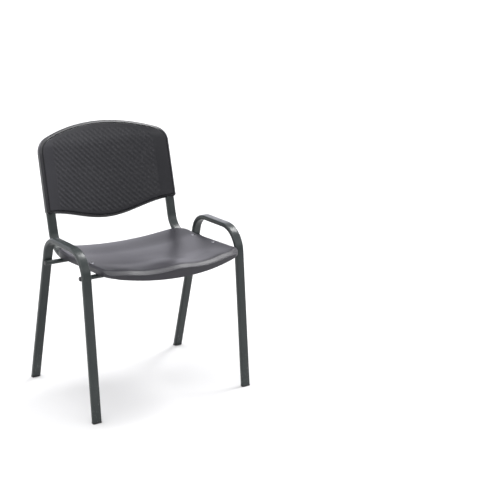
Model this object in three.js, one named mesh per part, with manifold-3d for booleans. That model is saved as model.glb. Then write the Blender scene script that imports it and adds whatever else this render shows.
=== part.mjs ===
// Stacking chair: two bent side arches, two rails that rise into uprights, two cross tubes,
// a moulded seat and a two-part backrest. Millimetres, +Z up, front towards -Y, floor at z = 0.
import * as THREE from "three";
import { mergeVertices } from "three/addons/utils/BufferGeometryUtils.js";
import Module from "manifold-3d";

// Flat-sided steel tube of the arches, rails and uprights
const TUBE_WIDTH = 30;
const TUBE_THICK = 15;
const TUBE_CORNER = 5.25;
const CORNER_SEGMENTS = 2;
const TUBE_WALL = 1.5;
const GAP = 0.3;
const STEM_PLAY = 2 * (TUBE_WALL + GAP);

// Side arch: centre line in a plane x = constant, from front foot to rear foot
const ARCH_X = 274;
const FRONT_FOOT_Y = -230.5;
const FRONT_CORNER = [-166, 519];
const REAR_CORNER = [67, 511];
const REAR_FOOT_Y = 194;
const FRONT_BEND = 80;
const REAR_BEND = 65;
const ARCH_STEPS = 7;
const TRIM = 30;
const ARCH_CLEAR = 700;

// Foot plugs: a cap under the tube, a little wider than it, and a stem inside
const SOLE = 5;
const SOLE_SPREAD = 1;
const SOLE_STEM_TOP = 28;

// Cross tubes under the seat
const CROSS_DIAMETER = 14;
const CROSS_WALL = 1.2;
const CROSS_HALF_LENGTH = 287;
const FRONT_CROSS_Z = 443.7;
const REAR_CROSS_Z = 428.5;
const CROSS_SIDES = 20;
const CROSS_STEM = 14;
const CROSS_CAP = 2.2;
const CROSS_CAP_CHAMFER = 1;

// Rail and upright
const RAIL_X = 219.5;
const RAIL_FRONT_Y = -178;
const RAIL_CORNER_Y = 135;
const RAIL_BEND = 74;
const LEAN = THREE.MathUtils.degToRad(15);
const RAIL_STEPS = 8;
const UPRIGHT_LENGTH = 285;
const UPRIGHT_END_ROOM = 4;
const TUBE_CAP = 2.2;
const TUBE_STEM = 14;

// Seat
const SEAT_HALF_WIDTH = 238.5;
const SEAT_FRONT_Y = -236;
const SEAT_FRONT_BULGE = 39;
const SEAT_REAR_Y = 122;
const SEAT_REAR_BULGE = 5;
const SEAT_FRONT_CORNER = 40;
const SEAT_REAR_CORNER = 61;
const SEAT_MID_Z = 442.3;
const SEAT_TILT = 0.066;
const SEAT_DISH = { depth: 19.3, atX: 220 };
const SEAT_REAR_RISE = { height: 10, fromY: 10, toY: 125 };
const SEAT_FRONT_SHAPE = { fromY: -230, toY: -60 };
const POMMEL = { height: 7, width: 52 };
const THIGH_DIP = { depth: 3, atX: 120, width: 60 };
const SEAT_THICK = 3.6;
const SEAT_RIM_FRONT = 24;
const SEAT_RIM_SIDE = 21;
const SEAT_RIM_REAR = 6;
const SEAT_ROLL = { side: 9, front: 34, downSide: 7, downFront: 15 };
const SEAT_SCREW_Y = [-107, 16];
const SEAT_BOSS = { radius: 7, aboveRail: 0.8, overlap: 0.5 };
const SEAT_SCREW = { shank: 2.6, head: 6, headHeight: 3.2, below: 6, sunk: 1.8 };
const SEAT_NUT = { bore: 3, radius: 5.4, height: 4.6, belowTube: 0.9 };
const SCREW_HOLE = 3;
const HOLE_REACH = 12;

// Backrest, in its own plane: v runs up the uprights, n towards the rear
const BACK_HALF_WIDTH_BOTTOM = 238;
const BACK_HALF_WIDTH_TOP = 235;
const BACK_CORNER_V = 119.5;
const BACK_BOTTOM_SAG = 37;
const BACK_TOP_V = 399.5;
const BACK_TOP_RADIUS = 540;
const BACK_TOP_CORNER = 54;
const BACK_BOTTOM_CORNER = 9;
const BACK_CURVE = { depth: 32, atX: 230 };
const BACK_FRONT_N = -14;
const BACK_REAR_N = 14;
const BACK_SEAM_N = -5.5;
const BACK_THICK = 2.8;
const BACK_FRONT_ROLL = 8;
const BACK_REAR_ROLL = 11;
const BACK_SCREW_V = 172;
const BACK_SCREW = { shank: 1.8, tapped: 2.1, hole: 2.4, length: 10, head: 4.9, headHeight: 2.6, sunk: 1.6 };
const BACK_BOSS = { radius: 7, pocket: 5.6, depth: 6, overlap: 0.5 };

const FRAME_PAINT = new THREE.MeshStandardMaterial({ color: 0x43474a, roughness: 0.45, metalness: 0.2 });
const SEAT_PLASTIC = new THREE.MeshStandardMaterial({ color: 0x55545c, roughness: 0.5 });
const BACK_PLASTIC = new THREE.MeshStandardMaterial({ color: 0x3e3d43, roughness: 0.6 });
const PLUG_PLASTIC = new THREE.MeshStandardMaterial({ color: 0x1c1d1e, roughness: 0.6 });
const STEEL = new THREE.MeshStandardMaterial({ color: 0xb9bbbd, roughness: 0.3, metalness: 1 });

const manifold = await Module();
manifold.setup();

function toSolid(geometry) {
  const bare = geometry.clone();
  bare.deleteAttribute("normal");
  bare.deleteAttribute("uv");
  const welded = mergeVertices(bare, 1e-3);
  const mesh = new manifold.Mesh({
    numProp: 3,
    vertProperties: new Float32Array(welded.attributes.position.array),
    triVerts: new Uint32Array(welded.index.array),
  });
  return new manifold.Manifold(mesh);
}

function toGeometry(solid) {
  const mesh = solid.getMesh();
  const geometry = new THREE.BufferGeometry();
  geometry.setAttribute("position", new THREE.BufferAttribute(mesh.vertProperties, 3));
  geometry.setIndex(new THREE.BufferAttribute(mesh.triVerts, 1));
  geometry.computeVertexNormals();
  return geometry;
}

// A line of straights and round bends in the plane x = constant, cut only where it has to turn.
class BentLine extends THREE.Curve {
  constructor(x, corners, radii = [], bendSteps = 8) {
    super();
    this.stations = [];
    const point = ([y, z]) => new THREE.Vector3(x, y, z);
    const first = point(corners[0]);
    const last = point(corners[corners.length - 1]);
    this.add(first, point(corners[1]).sub(first));
    for (let i = 1; i < corners.length - 1; i++) {
      this.addBend(point(corners[i - 1]), point(corners[i]), point(corners[i + 1]), radii[i - 1], bendSteps);
    }
    this.add(last, last.clone().sub(point(corners[corners.length - 2])));
    this.steps = this.stations.length - 1;
  }

  add(at, along) {
    this.stations.push({ at: at.clone(), along: along.clone().normalize() });
  }

  addBend(before, corner, after, radius, steps) {
    const inward = corner.clone().sub(before).normalize();
    const outward = after.clone().sub(corner).normalize();
    const turn = inward.angleTo(outward);
    const start = corner.clone().addScaledVector(inward, -radius * Math.tan(turn / 2));
    const side = outward.clone().addScaledVector(inward, -outward.dot(inward)).normalize();
    for (let k = 0; k <= steps; k++) {
      const a = (turn * k) / steps;
      const at = start.clone().addScaledVector(inward, radius * Math.sin(a));
      at.addScaledVector(side, radius * (1 - Math.cos(a)));
      const along = inward.clone().multiplyScalar(Math.cos(a)).addScaledVector(side, Math.sin(a));
      this.add(at, along);
    }
  }

  stationAt(u) {
    return this.stations[Math.round(u * this.steps)];
  }

  getPointAt(u, target = new THREE.Vector3()) {
    return target.copy(this.stationAt(u).at);
  }

  getTangentAt(u, target = new THREE.Vector3()) {
    return target.copy(this.stationAt(u).along);
  }
}

// Rectangle with round corners, wide along its own x. Every size is an offset of the tube's outline.
function tubePath(width, thick, PathClass) {
  const r = TUBE_CORNER + (thick - TUBE_THICK) / 2;
  const s = width / 2 - r;
  const t = thick / 2 - r;
  const quarter = Math.PI / 2;
  const path = new PathClass();
  path.moveTo(-s, -t - r);
  path.absarc(s, -t, r, -quarter, 0, false);
  path.absarc(s, t, r, 0, quarter, false);
  path.absarc(-s, t, r, quarter, 2 * quarter, false);
  path.absarc(-s, -t, r, 2 * quarter, 3 * quarter, false);
  return path;
}

function sweepTube(line, width, thick, wall = 0) {
  const shape = tubePath(width, thick, THREE.Shape);
  if (wall) shape.holes.push(tubePath(width - 2 * wall, thick - 2 * wall, THREE.Path));
  return new THREE.ExtrudeGeometry(shape, { steps: line.steps, curveSegments: CORNER_SEGMENTS, extrudePath: line });
}

// Piece turned about +Y, from pairs of radius and height
function turned(profile, segments = 14) {
  return new THREE.LatheGeometry(profile.map(([r, h]) => new THREE.Vector2(r, h)), segments);
}

// Solid layer of space between two heights, for trimming leg ends level with the floor
function layer(low, high) {
  const box = new THREE.BoxGeometry(900, 900, high - low);
  box.translate(0, 0, (low + high) / 2);
  return toSolid(box);
}

const group = new THREE.Group();

function addPiece(name, geometry, material) {
  const mesh = new THREE.Mesh(geometry, material);
  mesh.name = name;
  group.add(mesh);
}

const SIDES = [
  { name: "left", sign: -1 },
  { name: "right", sign: 1 },
];

// Side arches and their foot plugs

function archLine(x) {
  const frontRun = (FRONT_CORNER[0] - FRONT_FOOT_Y) / FRONT_CORNER[1];
  const rearRun = (REAR_CORNER[0] - REAR_FOOT_Y) / REAR_CORNER[1];
  const frontEnd = [FRONT_FOOT_Y - frontRun * TRIM, -TRIM];
  const rearEnd = [REAR_FOOT_Y - rearRun * TRIM, -TRIM];
  const corners = [frontEnd, FRONT_CORNER, REAR_CORNER, rearEnd];
  return new BentLine(x, corners, [FRONT_BEND, REAR_BEND], ARCH_STEPS);
}

function footPlug(x, footY, corner) {
  const run = (corner[0] - footY) / corner[1];
  const leg = new BentLine(x, [[footY - TRIM * run, -TRIM], [footY + 2 * TRIM * run, 2 * TRIM]]);
  const foot = toSolid(sweepTube(leg, TUBE_WIDTH + SOLE_SPREAD, TUBE_THICK + SOLE_SPREAD));
  const stem = toSolid(sweepTube(leg, TUBE_WIDTH - STEM_PLAY, TUBE_THICK - STEM_PLAY));
  return toGeometry(foot.intersect(layer(0, SOLE - GAP)).add(stem.intersect(layer(1, SOLE_STEM_TOP))));
}

for (const { name, sign } of SIDES) {
  const x = sign * ARCH_X;
  const tube = toSolid(sweepTube(archLine(x), TUBE_WIDTH, TUBE_THICK, TUBE_WALL));
  addPiece(name + "_side_arch", toGeometry(tube.intersect(layer(SOLE, ARCH_CLEAR))), FRAME_PAINT);
  addPiece("front_" + name + "_foot_plug", footPlug(x, FRONT_FOOT_Y, FRONT_CORNER), PLUG_PLASTIC);
  addPiece("rear_" + name + "_foot_plug", footPlug(x, REAR_FOOT_Y, REAR_CORNER), PLUG_PLASTIC);
}

// Cross tubes: the front one lies behind the front legs, the rear one in front of the rear legs

function crossY(footY, corner, z, side) {
  const run = (corner[0] - footY) / corner[1];
  const reach = TUBE_THICK / 2 + GAP + CROSS_DIAMETER / 2;
  return footY + run * z + side * reach * Math.hypot(1, run);
}

const FRONT_CROSS_Y = crossY(FRONT_FOOT_Y, FRONT_CORNER, FRONT_CROSS_Z, 1);
const REAR_CROSS_Y = crossY(REAR_FOOT_Y, REAR_CORNER, REAR_CROSS_Z, -1);

function crossTube(y, z) {
  const outer = CROSS_DIAMETER / 2;
  const inner = outer - CROSS_WALL;
  const profile = [
    [inner, -CROSS_HALF_LENGTH],
    [outer, -CROSS_HALF_LENGTH],
    [outer, CROSS_HALF_LENGTH],
    [inner, CROSS_HALF_LENGTH],
    [inner, -CROSS_HALF_LENGTH],
  ];
  const tube = turned(profile, CROSS_SIDES);
  tube.rotateZ(-Math.PI / 2);
  tube.translate(0, y, z);
  return tube;
}

function crossPlug(y, z, sign) {
  const outer = CROSS_DIAMETER / 2;
  const inner = outer - CROSS_WALL - GAP;
  const end = CROSS_STEM + CROSS_CAP;
  const profile = [
    [0, 0],
    [inner, 0],
    [inner, CROSS_STEM],
    [outer, CROSS_STEM],
    [outer, end - CROSS_CAP_CHAMFER],
    [outer - CROSS_CAP_CHAMFER, end],
    [0, end],
  ];
  const plug = turned(profile, CROSS_SIDES);
  plug.rotateZ((-sign * Math.PI) / 2);
  plug.translate(sign * (CROSS_HALF_LENGTH + GAP - CROSS_STEM), y, z);
  return plug;
}

addPiece("front_cross_tube", crossTube(FRONT_CROSS_Y, FRONT_CROSS_Z), FRAME_PAINT);
addPiece("rear_cross_tube", crossTube(REAR_CROSS_Y, REAR_CROSS_Z), FRAME_PAINT);
for (const { name, sign } of SIDES) {
  addPiece("front_cross_plug_" + name, crossPlug(FRONT_CROSS_Y, FRONT_CROSS_Z, sign), PLUG_PLASTIC);
  addPiece("rear_cross_plug_" + name, crossPlug(REAR_CROSS_Y, REAR_CROSS_Z, sign), PLUG_PLASTIC);
}

// Rails lie on both cross tubes and bend up into the uprights

const RAIL_REACH = CROSS_DIAMETER / 2 + GAP + TUBE_THICK / 2;
const RAIL_SLOPE = (REAR_CROSS_Z - FRONT_CROSS_Z) / (REAR_CROSS_Y - FRONT_CROSS_Y);

function railZ(y) {
  return FRONT_CROSS_Z + RAIL_REACH * Math.hypot(1, RAIL_SLOPE) + RAIL_SLOPE * (y - FRONT_CROSS_Y);
}

const CORNER = [RAIL_CORNER_Y, railZ(RAIL_CORNER_Y)];

function alongUpright(distance) {
  return [CORNER[0] + distance * Math.sin(LEAN), CORNER[1] + distance * Math.cos(LEAN)];
}

function uprightLine(x, length = UPRIGHT_LENGTH) {
  const front = [RAIL_FRONT_Y, railZ(RAIL_FRONT_Y)];
  return new BentLine(x, [front, CORNER, alongUpright(length)], [RAIL_BEND], RAIL_STEPS);
}

// Room that the seat and backrest leave round the rail and upright
function uprightClearance(sign) {
  const line = uprightLine(sign * RAIL_X, UPRIGHT_LENGTH + UPRIGHT_END_ROOM);
  return toSolid(sweepTube(line, TUBE_WIDTH + 2 * GAP, TUBE_THICK + 2 * GAP));
}

// Plug in the open end of a tube: cap outside, stem inside
function tubePlug(x, end, direction) {
  const at = (d) => [end[0] + direction[0] * d, end[1] + direction[1] * d];
  const capLine = new BentLine(x, [at(GAP), at(GAP + TUBE_CAP)]);
  const stemLine = new BentLine(x, [at(-TUBE_STEM), at(GAP + TUBE_CAP / 2)]);
  const cap = toSolid(sweepTube(capLine, TUBE_WIDTH, TUBE_THICK));
  const stem = toSolid(sweepTube(stemLine, TUBE_WIDTH - STEM_PLAY, TUBE_THICK - STEM_PLAY));
  return toGeometry(cap.add(stem));
}

// Screws, nuts and the clearance holes they need

const REARWARD = -Math.PI / 2 - LEAN;

// Stands a turned piece at a point: its +Y points up, or with a tilt of REARWARD out of the back
function standAt(geometry, x, y, z, tilt = 0) {
  geometry.rotateX(Math.PI / 2 + tilt);
  geometry.translate(x, y, z);
  return geometry;
}

function rod(radius, low, high) {
  return turned([[0, low], [radius, low], [radius, high], [0, high]], 18);
}

function seatBase(x, y) {
  return SEAT_MID_Z - SEAT_TILT * y + SEAT_DISH.depth * (x / SEAT_DISH.atX) ** 2;
}

function seatHeight(x, y) {
  const smooth = THREE.MathUtils.smoothstep;
  const rise = SEAT_REAR_RISE.height * smooth(y, SEAT_REAR_RISE.fromY, SEAT_REAR_RISE.toY);
  const frontness = 1 - smooth(y, SEAT_FRONT_SHAPE.fromY, SEAT_FRONT_SHAPE.toY);
  const pommel = POMMEL.height * Math.exp(-((x / POMMEL.width) ** 2));
  const dip = THIGH_DIP.depth * Math.exp(-(((Math.abs(x) - THIGH_DIP.atX) / THIGH_DIP.width) ** 2));
  return seatBase(x, y) + rise + frontness * (pommel - dip);
}

const SEAT_HOLES = [];
for (const { name, sign } of SIDES) {
  SEAT_HOLES.push({ name: "front_" + name, x: sign * RAIL_X, y: SEAT_SCREW_Y[0] });
  SEAT_HOLES.push({ name: "rear_" + name, x: sign * RAIL_X, y: SEAT_SCREW_Y[1] });
}
for (const hole of SEAT_HOLES) {
  hole.seatZ = seatHeight(hole.x, hole.y) - SEAT_SCREW.sunk;
  hole.railZ = railZ(hole.y);
}

function seatScrew(hole) {
  const { shank, head, headHeight, below } = SEAT_SCREW;
  const reach = hole.seatZ - hole.railZ + TUBE_THICK / 2 + below;
  const profile = [
    [0, -reach],
    [shank, -reach],
    [shank, GAP],
    [head, GAP],
    [head, 0.4 * headHeight],
    [0.8 * head, 0.8 * headHeight],
    [0.4 * head, headHeight],
    [0, headHeight],
  ];
  return standAt(turned(profile), hole.x, hole.y, hole.seatZ);
}

function seatNut(hole) {
  const { bore, radius, height, belowTube } = SEAT_NUT;
  const profile = [[bore, 0], [radius, 0], [radius, height], [bore, height], [bore, 0]];
  const low = hole.railZ - TUBE_THICK / 2 - height - belowTube;
  return standAt(turned(profile, 6), hole.x, hole.y, low);
}

for (const { name, sign } of SIDES) {
  let tube = toSolid(sweepTube(uprightLine(sign * RAIL_X), TUBE_WIDTH, TUBE_THICK, TUBE_WALL));
  for (const hole of SEAT_HOLES.filter((h) => h.x === sign * RAIL_X)) {
    const bore = rod(SCREW_HOLE, -HOLE_REACH, HOLE_REACH);
    tube = tube.subtract(toSolid(standAt(bore, hole.x, hole.y, hole.railZ)));
  }
  const [screwY, screwZ] = alongUpright(BACK_SCREW_V);
  const tapped = standAt(rod(BACK_SCREW.tapped, 3, HOLE_REACH), sign * RAIL_X, screwY, screwZ, REARWARD);
  tube = tube.subtract(toSolid(tapped));
  addPiece(name + "_rail_upright", toGeometry(tube), FRAME_PAINT);

  const railEnd = [RAIL_FRONT_Y, railZ(RAIL_FRONT_Y)];
  const railLength = Math.hypot(1, RAIL_SLOPE);
  const forward = [-1 / railLength, -RAIL_SLOPE / railLength];
  addPiece(name + "_rail_plug", tubePlug(sign * RAIL_X, railEnd, forward), PLUG_PLASTIC);
  const upward = [Math.sin(LEAN), Math.cos(LEAN)];
  const top = alongUpright(UPRIGHT_LENGTH);
  addPiece(name + "_upright_plug", tubePlug(sign * RAIL_X, top, upward), PLUG_PLASTIC);
}

for (const hole of SEAT_HOLES) {
  addPiece("seat_screw_" + hole.name, seatScrew(hole), STEEL);
  addPiece("seat_nut_" + hole.name, seatNut(hole), STEEL);
}

// Edge loops: points with outward normals, mirrored about x = 0, running anticlockwise

function sampleArc(centre, radius, from, to, count) {
  return Array.from({ length: count + 1 }, (_, k) => {
    const a = from + ((to - from) * k) / count;
    return new THREE.Vector2(centre.x + radius * Math.cos(a), centre.y + radius * Math.sin(a));
  });
}

// Rounds the corner between two lines of points that meet at its last and first point
function corner(before, at, after, radius, count) {
  const a = before.clone().sub(at).normalize();
  const b = after.clone().sub(at).normalize();
  const half = a.angleTo(b) / 2;
  const centre = a.clone().add(b).normalize().multiplyScalar(radius / Math.sin(half)).add(at);
  const start = a.multiplyScalar(radius / Math.tan(half)).add(at).sub(centre).angle();
  let end = b.multiplyScalar(radius / Math.tan(half)).add(at).sub(centre).angle();
  while (end < start) end += 2 * Math.PI;
  return sampleArc(centre, radius, start, end, count);
}

function closeLoop(half) {
  const mirrored = half.slice(1, -1).reverse().map((p) => new THREE.Vector2(-p.x, p.y));
  const points = half.concat(mirrored);
  return points.map((p, i) => {
    const next = points[(i + 1) % points.length];
    const previous = points[(i + points.length - 1) % points.length];
    const along = next.clone().sub(previous).normalize();
    return { at: p, out: new THREE.Vector2(along.y, -along.x) };
  });
}

function seatLoop() {
  const frontCentre = SEAT_FRONT_Y - SEAT_FRONT_BULGE;
  const frontCorner = new THREE.Vector2(SEAT_HALF_WIDTH, SEAT_FRONT_Y);
  const rearCorner = new THREE.Vector2(SEAT_HALF_WIDTH, SEAT_REAR_Y);
  const frontSlope = (2 * SEAT_FRONT_BULGE) / SEAT_HALF_WIDTH;
  const frontSide = frontCorner.clone().add(new THREE.Vector2(-1, -frontSlope));
  const frontRound = corner(frontSide, frontCorner, rearCorner, SEAT_FRONT_CORNER, 6);
  const rearSlope = (2 * SEAT_REAR_BULGE) / SEAT_HALF_WIDTH;
  const rearSide = rearCorner.clone().add(new THREE.Vector2(-1, rearSlope));
  const rearRound = corner(frontCorner, rearCorner, rearSide, SEAT_REAR_CORNER, 6);
  const half = [];
  for (let k = 0; k < 8; k++) {
    const t = k / 8;
    const y = frontCentre + (frontRound[0].y - frontCentre) * t * t;
    half.push(new THREE.Vector2(frontRound[0].x * t, y));
  }
  half.push(...frontRound);
  for (let k = 1; k < 6; k++) half.push(frontRound[6].clone().lerp(rearRound[0], k / 6));
  half.push(...rearRound);
  const rearCentre = SEAT_REAR_Y + SEAT_REAR_BULGE;
  for (let k = 5; k >= 0; k--) {
    const t = k / 6;
    const y = rearCentre + (rearRound[6].y - rearCentre) * t * t;
    half.push(new THREE.Vector2(rearRound[6].x * t, y));
  }
  return closeLoop(half);
}

// Closed skin over rings of equal count, with a point at each end
function skin(startPoint, rings, endPoint) {
  const n = rings[0].length;
  const points = [startPoint, ...rings.flat(), endPoint];
  const index = [];
  for (let i = 0; i < n; i++) {
    const j = (i + 1) % n;
    index.push(0, 1 + i, 1 + j);
    for (let r = 0; r < rings.length - 1; r++) {
      const a = 1 + r * n;
      const b = a + n;
      index.push(a + i, b + i, b + j, a + i, b + j, a + j);
    }
    const last = 1 + (rings.length - 1) * n;
    index.push(last + j, last + i, points.length - 1);
  }
  const geometry = new THREE.BufferGeometry().setFromPoints(points);
  geometry.setIndex(index);
  return geometry;
}

// Depth of the turned-down edge below the plain dished surface, by the way the edge faces
function rimDepth(outY) {
  const front = THREE.MathUtils.smoothstep(-outY, 0.94, 1);
  const rear = THREE.MathUtils.smoothstep(outY, 0.1, 0.9);
  return SEAT_RIM_SIDE + (SEAT_RIM_FRONT - SEAT_RIM_SIDE) * front + (SEAT_RIM_REAR - SEAT_RIM_SIDE) * rear;
}

const ROLL = [0, 30, 60, 90].map(THREE.MathUtils.degToRad);

function seatShell() {
  const loop = seatLoop();
  const centre = new THREE.Vector2(0, -40);
  const sunk = (p, drop) => new THREE.Vector3(p.x, p.y, seatHeight(p.x, p.y) - drop);
  const front = (e) => THREE.MathUtils.smoothstep(-e.out.y, 0.3, 0.95);
  const lerp = THREE.MathUtils.lerp;
  const across = (e) => lerp(SEAT_ROLL.side, SEAT_ROLL.front, front(e));
  const down = (e) => lerp(SEAT_ROLL.downSide, SEAT_ROLL.downFront, front(e));
  const inset = (e, d) => e.at.clone().addScaledVector(e.out, -d);
  const field = (drop, extra) =>
    [0.28, 0.55, 0.8].map((s) =>
      loop.map((e) => sunk(centre.clone().lerp(inset(e, across(e) + extra), s), drop)),
    );
  const rim = (e, d, drop) => {
    const inner = inset(e, across(e));
    const p = inset(e, d);
    return new THREE.Vector3(p.x, p.y, seatHeight(inner.x, inner.y) - drop);
  };
  const outerRoll = ROLL.map((a) =>
    loop.map((e) => rim(e, across(e) * (1 - Math.sin(a)), down(e) * (1 - Math.cos(a)))),
  );
  const t = SEAT_THICK;
  const innerRoll = ROLL.map((a) =>
    loop.map((e) => rim(e, t + (across(e) - t) * (1 - Math.sin(a)), t + (down(e) - t) * (1 - Math.cos(a)))),
  ).reverse();
  const lip = [0, t].map((d) =>
    loop.map((e) => {
      const p = inset(e, d);
      const depth = rimDepth(e.out.y);
      return new THREE.Vector3(p.x, p.y, seatBase(e.at.x, e.at.y) - depth);
    }),
  );
  const rings = [...field(0, 0), ...outerRoll, ...lip, ...innerRoll, ...field(t, 0).reverse()];
  let solid = toSolid(skin(sunk(centre, 0), rings, sunk(centre, t)));
  for (const hole of SEAT_HOLES) {
    const { radius, aboveRail, overlap } = SEAT_BOSS;
    const bossFoot = hole.railZ + TUBE_THICK / 2 + GAP + aboveRail - hole.seatZ;
    const place = (geometry) => toSolid(standAt(geometry, hole.x, hole.y, hole.seatZ));
    solid = solid.add(place(rod(radius, bossFoot, -overlap)));
    solid = solid.subtract(place(rod(radius, 0, HOLE_REACH)));
    solid = solid.subtract(place(rod(SCREW_HOLE, bossFoot - HOLE_REACH, HOLE_REACH)));
  }
  for (const { sign } of SIDES) solid = solid.subtract(uprightClearance(sign));
  return toGeometry(solid);
}

addPiece("seat_shell", seatShell(), SEAT_PLASTIC);

// The rear cover wraps forward to a seam near the front panel, and the uprights stand between them

function backPoint(p, n) {
  const deep = n - (BACK_CURVE.depth * (p.x ** 2 - RAIL_X ** 2)) / BACK_CURVE.atX ** 2;
  const [y, z] = alongUpright(p.y);
  return new THREE.Vector3(p.x, y + deep * Math.cos(LEAN), z - deep * Math.sin(LEAN));
}

function backLoop() {
  const half = [];
  const bottomRun = BACK_HALF_WIDTH_BOTTOM - BACK_BOTTOM_CORNER;
  for (let k = 0; k < 10; k++) {
    const t = k / 10;
    const v = BACK_CORNER_V - BACK_BOTTOM_SAG * (0.5 + 0.5 * Math.cos(Math.PI * t));
    half.push(new THREE.Vector2(bottomRun * t, v));
  }
  const sideFoot = new THREE.Vector2(BACK_HALF_WIDTH_BOTTOM, BACK_CORNER_V + BACK_BOTTOM_CORNER);
  half.push(...sampleArc(new THREE.Vector2(bottomRun, sideFoot.y), BACK_BOTTOM_CORNER, -Math.PI / 2, 0, 3));
  const up = new THREE.Vector2(BACK_HALF_WIDTH_TOP, BACK_TOP_V).sub(sideFoot).normalize();
  const across = new THREE.Vector2(-up.y, up.x);
  const topCentre = new THREE.Vector2(0, BACK_TOP_V - BACK_TOP_RADIUS);
  const from = sideFoot.clone().addScaledVector(across, BACK_TOP_CORNER).sub(topCentre);
  const along = from.dot(up);
  const reach = (BACK_TOP_RADIUS - BACK_TOP_CORNER) ** 2 - from.lengthSq();
  const rise = -along + Math.sqrt(along * along + reach);
  const centre = sideFoot.clone().addScaledVector(up, rise).addScaledVector(across, BACK_TOP_CORNER);
  const topAngle = centre.clone().sub(topCentre).angle();
  const round = sampleArc(centre, BACK_TOP_CORNER, across.clone().negate().angle() % Math.PI, topAngle, 6);
  for (let k = 1; k < 5; k++) half.push(sideFoot.clone().lerp(round[0], k / 5));
  half.push(...round);
  half.push(...sampleArc(topCentre, BACK_TOP_RADIUS, topAngle, Math.PI / 2, 8).slice(1));
  half[half.length - 1].x = 0;
  return closeLoop(half);
}

// side -1: front shell with its face towards the sitter; side 1: rear cover
function backShell(side, face, roll, holes) {
  const loop = backLoop();
  const centre = new THREE.Vector2(0, 240);
  const t = BACK_THICK;
  const inset = (e, d) => e.at.clone().addScaledVector(e.out, -d);
  const field = (n) =>
    [0.4, 0.75].map((s) => loop.map((e) => backPoint(centre.clone().lerp(inset(e, roll), s), n)));
  const bend = (r, edge, n) =>
    ROLL.map((a) => {
      const away = edge + r * (1 - Math.sin(a));
      return loop.map((e) => backPoint(inset(e, away), n - side * r * (1 - Math.cos(a))));
    });
  const seam = BACK_SEAM_N + (side * GAP) / 2;
  const lip = [loop.map((e) => backPoint(e.at, seam)), loop.map((e) => backPoint(inset(e, t), seam))];
  const rings = [
    ...field(face),
    ...bend(roll, 0, face),
    ...lip,
    ...bend(roll - t, t, face - side * t).reverse(),
    ...field(face - side * t).reverse(),
  ];
  const skinned = skin(backPoint(centre, face), rings, backPoint(centre, face - side * t));
  if (side > 0) flip(skinned);
  let solid = toSolid(skinned);
  for (const hole of holes) solid = solid.add(hole.boss).subtract(hole.bore);
  for (const { sign } of SIDES) solid = solid.subtract(uprightClearance(sign));
  return toGeometry(solid);
}

function flip(geometry) {
  const index = geometry.index.array;
  for (let i = 0; i < index.length; i += 3) [index[i + 1], index[i + 2]] = [index[i + 2], index[i + 1]];
}

function backScrewPlace(sign) {
  const p = new THREE.Vector2(sign * RAIL_X, BACK_SCREW_V);
  const at = backPoint(p, BACK_REAR_N - BACK_SCREW.sunk);
  return (geometry) => standAt(geometry, at.x, at.y, at.z, REARWARD);
}

const BACK_BORES = SIDES.map(({ sign }) => {
  const place = backScrewPlace(sign);
  const { radius, pocket, depth, overlap } = BACK_BOSS;
  const shaft = rod(BACK_SCREW.hole, -2 * BACK_SCREW.length, 1);
  return {
    boss: toSolid(place(rod(radius, -depth, -overlap))),
    bore: toSolid(place(rod(pocket, 0, HOLE_REACH))).add(toSolid(place(shaft))),
  };
});

addPiece("backrest_front", backShell(-1, BACK_FRONT_N, BACK_FRONT_ROLL, []), BACK_PLASTIC);
addPiece("backrest_rear_cover", backShell(1, BACK_REAR_N, BACK_REAR_ROLL, BACK_BORES), BACK_PLASTIC);
for (const { name, sign } of SIDES) {
  const { shank, length, head, headHeight } = BACK_SCREW;
  const profile = [
    [0, -length],
    [shank, -length],
    [shank, GAP],
    [head, GAP],
    [head, 0.35 * headHeight],
    [0.75 * head, 0.85 * headHeight],
    [0, headHeight],
  ];
  addPiece("back_screw_" + name, backScrewPlace(sign)(turned(profile)), STEEL);
}

// Origin on the floor under the middle of the chair
const box = new THREE.Box3().setFromObject(group);
const middle = box.getCenter(new THREE.Vector3());
group.position.set(0, -middle.y, 0);

export default group;
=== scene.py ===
import math
import bmesh
import bpy
from mathutils import Matrix, Vector


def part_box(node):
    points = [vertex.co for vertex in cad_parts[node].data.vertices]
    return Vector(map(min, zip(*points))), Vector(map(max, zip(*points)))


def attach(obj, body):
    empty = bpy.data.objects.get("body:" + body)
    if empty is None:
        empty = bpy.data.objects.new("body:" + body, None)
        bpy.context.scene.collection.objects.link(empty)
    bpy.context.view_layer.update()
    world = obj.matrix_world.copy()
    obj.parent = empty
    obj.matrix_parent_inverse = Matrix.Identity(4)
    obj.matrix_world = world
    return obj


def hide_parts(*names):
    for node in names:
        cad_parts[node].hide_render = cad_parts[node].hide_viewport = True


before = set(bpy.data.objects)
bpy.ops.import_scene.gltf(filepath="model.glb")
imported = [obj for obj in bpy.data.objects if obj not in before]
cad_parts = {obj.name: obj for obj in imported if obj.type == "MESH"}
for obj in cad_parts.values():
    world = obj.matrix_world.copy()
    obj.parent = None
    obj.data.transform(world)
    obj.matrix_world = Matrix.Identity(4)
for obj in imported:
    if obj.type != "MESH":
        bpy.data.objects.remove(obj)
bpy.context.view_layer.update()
mm = 0.001

# Stacking chair: painted flat-sided tube, moulded seat, two-part backrest. Sizes are in millimetres.

tubing = dict(
    width=30, thick=15, wall=1.5, corner=0.35, edgeSteps=9,  # corner is a share of the thickness
    archX=274, frontFootY=-230.5, rearFootY=194, sole=5,
    frontCorner=(-166, 519), rearCorner=(67, 511), frontBend=80, rearBend=65, bendSteps=20,
    crossDiameter=14, crossWall=1.2, crossHalf=287, frontCrossZ=443.7, rearCrossZ=428.5,
    railX=219.5, railFrontY=-178, railCornerY=135, railBend=74, lean=15, uprightLength=285,
)
gap = 0.3

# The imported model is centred, so everything here moves with its seat
seatFrontTip = -275
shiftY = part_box("seat_shell")[0].y - seatFrontTip * mm


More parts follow.
